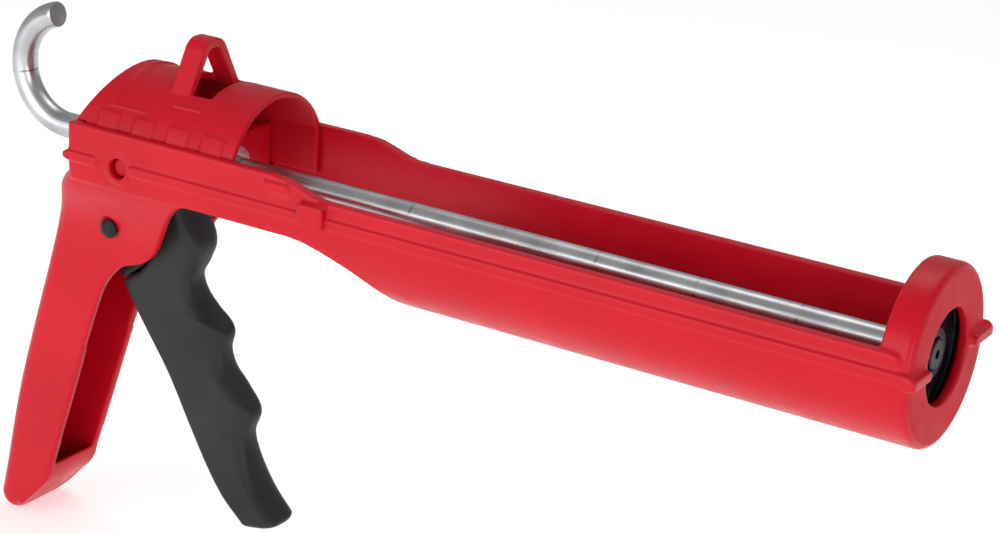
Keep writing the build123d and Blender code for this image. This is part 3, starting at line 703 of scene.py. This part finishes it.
def coil_rings(start, length, radius, wire, turns, per_turn=36, around=12):
    """Circles of radius wire carried along a helix about the X axis.

    The centre is (start + length t, -radius sin, radius cos) of the angle 2 pi turns t. A section lies
    in the plane of the radial direction and its cross product with the tangent.
    """
    t = np.linspace(0, 1, int(per_turn * turns) + 1)
    angle = 2 * np.pi * turns * t
    radial = np.stack((0 * t, -np.sin(angle), np.cos(angle)), 1)
    centre = radius * radial + np.stack((start + length * t, 0 * t, 0 * t), 1)
    tangent = np.gradient(centre, axis=0)
    tangent /= np.linalg.norm(tangent, axis=1)[:, None]
    other = np.cross(tangent, radial)
    phi = np.linspace(0, 2 * np.pi, around, endpoint=False)
    circle = np.cos(phi)[None, :, None] * radial[:, None] + np.sin(phi)[None, :, None] * other[:, None]
    return centre[:, None] + wire * circle


spring_wire = steel("spring_wire", (0.42, 0.42, 0.43), (0.28, 0.28, 0.29), (0.28, 0.42))
for node, name, wire, radius, turns in COILS:
    low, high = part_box(node)
    start, stop = low.x / MM + wire, high.x / MM - wire
    spring = skinned(name, coil_rings(start, stop - start, radius, wire, turns))
    spring.data.materials.append(spring_wire)
    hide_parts(node)
    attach(spring, "frame")

# ------------------------------------------------------------------------------------------------
# Drive and brake plates: zinc-plated steel, each with a hole for the rod, their edges broken by the
# press. The two drive plates grip the rod and push it; the brake plate is tilted by thumb.
PLATE_VOXEL = 0.28
PLATE_PASSES = 2
PLATE_TRIANGLES = 90_000
rolled_zinc = steel("rolled_zinc", (0.60, 0.61, 0.63), (0.46, 0.47, 0.50), (0.30, 0.46), (1.0, 1.0, 0.08))
for node, name, body in (
    ("drive_plate_rear", "rear_drive_plate", "drive"),
    ("drive_plate_front", "front_drive_plate", "drive"),
    ("brake_plate", "thumb_brake_plate", "brake"),
):
    plate = moulded(node, name, PLATE_VOXEL, PLATE_PASSES, PLATE_TRIANGLES)
    plate.data.materials.append(rolled_zinc)
    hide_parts(node)
    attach(plate, body)

# ------------------------------------------------------------------------------------------------
# Studio: a pale floor under the handle, soft light from large panels and a bright room, and the
# camera, which looks at the near side and down on the cradle from its nose end.
FLOOR_SIZE = 8.0
FLOOR_WHITE = (0.86, 0.86, 0.86, 1)
FLOOR_ROUGH = 0.7
FLOOR_GLOW = 0.50
ROOM_LIGHT = 0.38
PANELS = (
    ("key_panel", (-0.6, -1.4, 0.30), (-0.17, 0, -0.02), (1.6, 1.0), 11.5),
    ("top_panel", (-0.2, 0.5, 1.1), (-0.17, 0, 0), (1.0, 0.6), 3.6),
    ("nose_panel", (1.2, -1.1, 0.25), (-0.1, 0, 0), (0.7, 0.7), 6),
)
CAMERA_PLACE = (0.25279, -0.68222, 0.28590)
CAMERA_AZIMUTH = math.radians(30.79)
CAMERA_ELEVATION = math.radians(20.40)
CAMERA_ROLL = math.radians(3.40)
CAMERA_LENS = 94.94
CAMERA_SENSOR = 36.0

floor_mesh = bpy.data.meshes.new("floor")
floor_z = cad_box[0][2]
half = FLOOR_SIZE / 2
floor_mesh.from_pydata(
    [(-half, -half, floor_z), (half, -half, floor_z), (half, half, floor_z), (-half, half, floor_z)],
    [], [(0, 1, 2, 3)],
)
floor = bpy.data.objects.new("floor", floor_mesh)
bpy.context.scene.collection.objects.link(floor)
floor_paint, _, floor_shader, _ = new_material("floor_paint")
floor_shader.inputs["Base Color"].default_value = FLOOR_WHITE
floor_shader.inputs["Roughness"].default_value = FLOOR_ROUGH
floor_shader.inputs["Emission Color"].default_value = (1, 1, 1, 1)
floor_shader.inputs["Emission Strength"].default_value = FLOOR_GLOW
floor_mesh.materials.append(floor_paint)

world = bpy.data.worlds.new("studio")
world.use_nodes = True
world.node_tree.nodes["Background"].inputs["Color"].default_value = (1, 1, 1, 1)
world.node_tree.nodes["Background"].inputs["Strength"].default_value = ROOM_LIGHT
bpy.context.scene.world = world


def placed(thing, right, up, back, place):
    """Put a lamp or the camera at place, its X, Y and Z axes along right, up and back."""
    rows = [(*axis, p) for axis, p in zip(np.stack((right, up, back), 1), place)]
    thing.matrix_world = Matrix(rows + [(0, 0, 0, 1)])
    bpy.context.scene.collection.objects.link(thing)


def soft_panel(name, place, aim, size, power):
    """Square area light at place, turned to face aim."""
    data = bpy.data.lights.new(name, "AREA")
    data.shape = "RECTANGLE"
    data.size, data.size_y = size
    data.energy = power
    lamp = bpy.data.objects.new(name, data)
    back = np.subtract(place, aim)
    back /= np.linalg.norm(back)
    right = np.cross((0, 0, 1), back)
    right /= np.linalg.norm(right)
    placed(lamp, right, np.cross(back, right), back, place)


for panel in PANELS:
    soft_panel(*panel)
bpy.context.scene.view_settings.view_transform = "Standard"

camera_data = bpy.data.cameras.new("camera")
camera_data.lens = CAMERA_LENS
camera_data.sensor_width = CAMERA_SENSOR
camera = bpy.data.objects.new("camera", camera_data)
back = np.array((
    math.sin(CAMERA_AZIMUTH) * math.cos(CAMERA_ELEVATION),
    -math.cos(CAMERA_AZIMUTH) * math.cos(CAMERA_ELEVATION),
    math.sin(CAMERA_ELEVATION),
))
level = np.array((math.cos(CAMERA_AZIMUTH), math.sin(CAMERA_AZIMUTH), 0.0))
upright = np.cross(back, level)
right = math.cos(CAMERA_ROLL) * level + math.sin(CAMERA_ROLL) * upright
placed(camera, right, np.cross(back, right), back, CAMERA_PLACE)
bpy.context.scene.camera = camera
